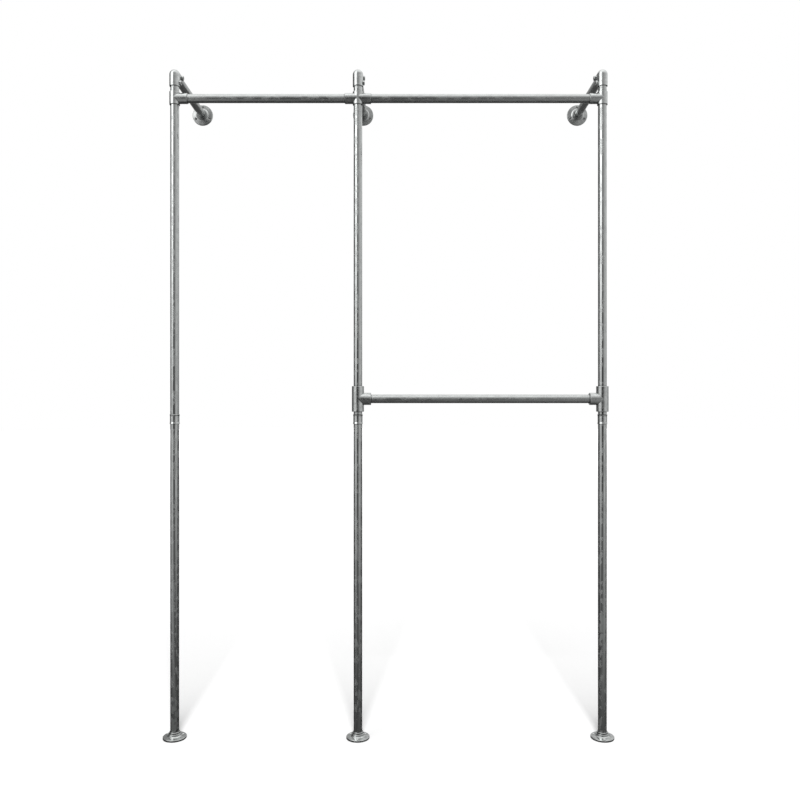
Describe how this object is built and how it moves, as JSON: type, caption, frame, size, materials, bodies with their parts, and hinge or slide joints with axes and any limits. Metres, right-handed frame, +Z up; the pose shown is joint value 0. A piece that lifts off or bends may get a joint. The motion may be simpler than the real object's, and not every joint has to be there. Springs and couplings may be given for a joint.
{
  "type": "walk-in closet pipe rack",
  "caption": "Open pipe clothes rack for a walk-in closet: posts on floor flanges, arms to wall flanges, top rails over a narrow and a wide bay, and a sliding mid rail in the wide bay.",
  "frame": {"origin": "on the floor, under the centre of the rack's box", "axes": "+X along the rails to the wide bay's end, +Y from the room to the wall, +Z up"},
  "size_m": [1.4144, 0.3862, 2.1161],
  "materials": {
    "galvanised_pipe": "mottled hot-dip zinc, satin",
    "galvanised_casting": "zinc-coated casting, satin",
    "set_screw": "dark zinc, satin"
  },
  "bodies": {
    "rack": {"floor_flange_left": "galvanised_casting", "lower_post_left": "galvanised_pipe", "coupling_left": "galvanised_casting", "upper_post_left": "galvanised_pipe", "top_tee_left": "galvanised_casting", "top_tee_screws_left": "set_screw", "elbow_left": "galvanised_casting", "elbow_screws_left": "set_screw", "wall_arm_left": "galvanised_pipe", "wall_flange_left": "galvanised_casting", "floor_flange_middle": "galvanised_casting", "lower_post_middle": "galvanised_pipe", "coupling_middle": "galvanised_casting", "upper_post_middle": "galvanised_pipe", "top_cross_middle": "galvanised_casting", "top_cross_screws_middle": "set_screw", "elbow_middle": "galvanised_casting", "elbow_screws_middle": "set_screw", "wall_arm_middle": "galvanised_pipe", "wall_flange_middle": "galvanised_casting", "floor_flange_right": "galvanised_casting", "lower_post_right": "galvanised_pipe", "coupling_right": "galvanised_casting", "upper_post_right": "galvanised_pipe", "top_tee_right": "galvanised_casting", "top_tee_screws_right": "set_screw", "elbow_right": "galvanised_casting", "elbow_screws_right": "set_screw", "wall_arm_right": "galvanised_pipe", "wall_flange_right": "galvanised_casting", "top_rail_left": "galvanised_pipe", "top_rail_right": "galvanised_pipe"},
    "sliding_rail": {"mid_rail": "galvanised_pipe", "mid_tee_middle": "galvanised_casting", "mid_tee_right": "galvanised_casting", "mid_tee_screws_middle": "set_screw", "mid_tee_screws_right": "set_screw"}
  },
  "joints": [
    {"name": "mid_rail_height", "type": "slide", "parent": "rack", "child": "sliding_rail", "axis": [0, 0, 1], "range_m": [-0.008, 0.878]}
  ]
}
